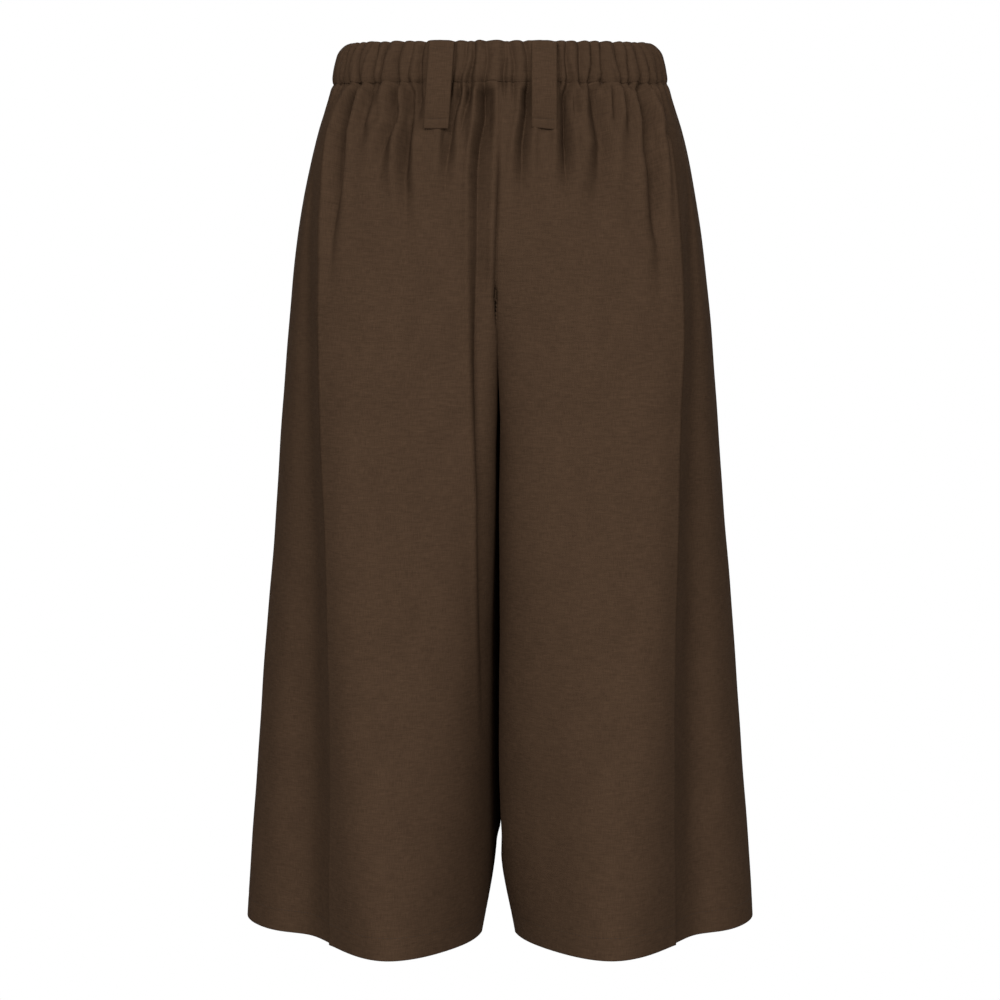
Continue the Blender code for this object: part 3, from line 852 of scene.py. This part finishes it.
def cloth_material(name, colour, depth_of_weave):
    """Matt twill: heathered warp and weft threads, and a fine diagonal rib."""
    material = bpy.data.materials.new(name)
    material.use_nodes = True
    nodes, links = material.node_tree.nodes, material.node_tree.links
    shader = nodes["Principled BSDF"]
    grain = nodes.new("ShaderNodeUVMap")
    grain.uv_map = "cloth_grain"

    def noise(scale, size, detail):
        """Noise in the cloth's own flat coordinates: scale stretches it, size is per metre."""
        mapping = nodes.new("ShaderNodeMapping")
        mapping.inputs["Scale"].default_value = (*scale, 1)
        texture = nodes.new("ShaderNodeTexNoise")
        texture.inputs["Scale"].default_value = size
        texture.inputs["Detail"].default_value = detail
        texture.inputs["Roughness"].default_value = 0.55
        links.new(grain.outputs["UV"], mapping.inputs["Vector"])
        links.new(mapping.outputs["Vector"], texture.inputs["Vector"])
        return texture.outputs["Fac"]

    def combine(operation, first, second):
        node = nodes.new("ShaderNodeMath")
        node.operation = operation
        for socket, value in zip(node.inputs, (first, second)):
            if isinstance(value, (int, float)):
                socket.default_value = value
            else:
                links.new(value, socket)
        return node.outputs[0]

    def centred(value, gain):
        return combine("MULTIPLY", combine("SUBTRACT", value, 0.5), gain)

    warp = noise((1.0, YARN_STRETCH), YARNS, 2)
    weft = noise((YARN_STRETCH, 1.0), YARNS, 2)
    slub = noise((0.22, 1.0), SLUBS, 3)
    mottle = noise((1.0, 0.7), MOTTLES, 4)
    tone = combine("ADD", centred(warp, 0.55), centred(weft, 0.55))
    tone = combine("ADD", tone, centred(slub, 0.42))
    tone = combine("ADD", tone, centred(mottle, 0.28))
    tone = combine("ADD", tone, 1.0)
    tinted = nodes.new("ShaderNodeVectorMath")
    tinted.operation = "SCALE"
    tinted.inputs[0].default_value = colour
    links.new(tone, tinted.inputs["Scale"])
    links.new(tinted.outputs["Vector"], shader.inputs["Base Color"])

    split = nodes.new("ShaderNodeSeparateXYZ")
    links.new(grain.outputs["UV"], split.inputs["Vector"])
    diagonal = combine("ADD", split.outputs["X"], split.outputs["Y"])
    rib = combine("SINE", combine("MULTIPLY", diagonal, 2 * math.pi / RIB_PITCH), 0)
    threads = combine("ADD", combine("MULTIPLY", rib, 0.32), combine("ADD", warp, weft))
    relief = combine("ADD", threads, combine("MULTIPLY", slub, 0.9))
    bump = nodes.new("ShaderNodeBump")
    bump.inputs["Strength"].default_value = depth_of_weave
    bump.inputs["Distance"].default_value = WEAVE_HEIGHT
    links.new(relief, bump.inputs["Height"])
    links.new(bump.outputs["Normal"], shader.inputs["Normal"])

    shader.inputs["Roughness"].default_value = 0.92
    shader.inputs["Specular IOR Level"].default_value = 0.02
    return material


def thread_material():
    material = bpy.data.materials.new("sewing_thread")
    material.use_nodes = True
    nodes, links = material.node_tree.nodes, material.node_tree.links
    shader = nodes["Principled BSDF"]
    place = nodes.new("ShaderNodeTexCoord")
    texture = nodes.new("ShaderNodeTexNoise")
    texture.inputs["Scale"].default_value = 2600
    links.new(place.outputs["Object"], texture.inputs["Vector"])
    tinted = nodes.new("ShaderNodeVectorMath")
    tinted.operation = "SCALE"
    tinted.inputs[0].default_value = THREAD_COLOUR
    links.new(texture.outputs["Fac"], tinted.inputs["Scale"])
    doubled = nodes.new("ShaderNodeVectorMath")
    doubled.operation = "SCALE"
    doubled.inputs["Scale"].default_value = 2
    links.new(tinted.outputs["Vector"], doubled.inputs[0])
    links.new(doubled.outputs["Vector"], shader.inputs["Base Color"])
    shader.inputs["Roughness"].default_value = 0.7
    shader.inputs["Specular IOR Level"].default_value = 0.3
    return material


# ---------------------------------------------------------------- camera, light and floor
CAMERA_DISTANCE = 2.977
CAMERA_HEIGHT = -0.0822
CAMERA_PITCH = 5.25
CAMERA_LENS = 130.5
FLOOR_DROP = 1.03  # below the waist, as far as a wearer's floor would be
FLOOR_REACH = 40.0
AMBIENT = 0.30
SUN_COLUMNS = ("name", "azimuth", "elevation", "strength", "softness")  # azimuth from behind the camera
SUNS = (
    ("key_sun", -16, 24, 1.75, 30),
    ("fill_sun", 20, 12, 1.25, 34),
    ("far_sun", 180, 30, 1.6, 40),
)


def white_to_camera(tree, lit):
    """Pure white where the camera looks straight at it, and lit where it lights other things."""
    path = tree.nodes.new("ShaderNodeLightPath")
    is_world = lit.bl_idname == "ShaderNodeBackground"
    white = tree.nodes.new("ShaderNodeBackground" if is_world else "ShaderNodeEmission")
    white.inputs["Color"].default_value = (1, 1, 1, 1)
    mix = tree.nodes.new("ShaderNodeMixShader")
    output = next(node for node in tree.nodes if node.bl_idname.startswith("ShaderNodeOutput"))
    tree.links.new(path.outputs["Is Camera Ray"], mix.inputs[0])
    tree.links.new(lit.outputs[0], mix.inputs[1])
    tree.links.new(white.outputs[0], mix.inputs[2])
    tree.links.new(mix.outputs[0], output.inputs["Surface"])


def light_scene(scene):
    scene.view_settings.view_transform = "Standard"
    world = bpy.data.worlds.new("studio")
    world.use_nodes = True
    background = world.node_tree.nodes["Background"]
    background.inputs["Color"].default_value = (1, 1, 1, 1)
    background.inputs["Strength"].default_value = AMBIENT
    white_to_camera(world.node_tree, background)
    scene.world = world
    for row in SUNS:
        s = dict(zip(SUN_COLUMNS, row))
        light = bpy.data.lights.new(s["name"], "SUN")
        light.energy = s["strength"]
        light.angle = math.radians(s["softness"])
        sun = bpy.data.objects.new(s["name"], light)
        sun.rotation_euler = (math.radians(90 - s["elevation"]), 0, math.radians(s["azimuth"]))
        scene.collection.objects.link(sun)


def lay_floor(scene):
    mesh = bpy.data.meshes.new("floor")
    far = FLOOR_REACH
    low = WAIST_TOP - FLOOR_DROP
    corners = [(-far, -far, low), (far, -far, low), (far, far, low), (-far, far, low)]
    mesh.from_pydata(corners, [], [(0, 1, 2, 3)])
    floor = bpy.data.objects.new("floor", mesh)
    paint = bpy.data.materials.new("pale_floor")
    paint.use_nodes = True
    shader = paint.node_tree.nodes["Principled BSDF"]
    shader.inputs["Base Color"].default_value = (0.4, 0.4, 0.4, 1)
    shader.inputs["Roughness"].default_value = 1.0
    shader.inputs["Specular IOR Level"].default_value = 0.0
    white_to_camera(paint.node_tree, shader)
    mesh.materials.append(paint)
    scene.collection.objects.link(floor)


def place_camera(scene):
    camera = bpy.data.objects.new("camera", bpy.data.cameras.new("camera"))
    camera.data.lens = CAMERA_LENS
    camera.data.sensor_width = 36
    camera.data.clip_end = 200
    camera.location = (0, -CAMERA_DISTANCE, CAMERA_HEIGHT)
    camera.rotation_euler = (math.radians(90 - CAMERA_PITCH), 0, 0)
    scene.collection.objects.link(camera)
    scene.camera = camera


# ---------------------------------------------------------------- the garment
def build():
    cloth = cloth_material("brown_twill", CLOTH_COLOUR, 0.55)
    band_cloth = cloth_material("brown_twill_band", CLOTH_COLOUR, 0.5)
    thread = thread_material()
    for side, hand in ((1, "right"), (-1, "left")):
        hem_lines = []
        for half, face in ((-1, "back"), (1, "front")):
            node = face + "_" + hand
            piece, line, outward = panel(node + "_cloth", side, half, cloth)
            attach(piece, "root")
            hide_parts(node)
            hem_lines.append((line + outward * STITCH_STAND_OFF, outward))
        sewing = stitches("hem_stitches_" + hand, hem_lines, HEM_PITCH, STITCH_LENGTH, HEM_THREAD, thread)
        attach(sewing, "root")
    band = waistband(band_cloth)
    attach(band, "root")
    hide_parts("waistband")
    for row in LOOPS:
        strap, loop, rows = belt_loop(row, cloth)
        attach(strap, "root")
        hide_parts(loop["node"])
        backwards = np.broadcast_to((0.0, -1.0, 0.0), rows[0].shape)
        lines = [(line, backwards) for line in rows]
        name = loop["name"] + "_stitches"
        sewing = stitches(name, lines, LOOP_PITCH, STITCH_LENGTH, LOOP_THREAD, thread)
        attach(sewing, "root")


light_scene(bpy.context.scene)
lay_floor(bpy.context.scene)
place_camera(bpy.context.scene)
build()
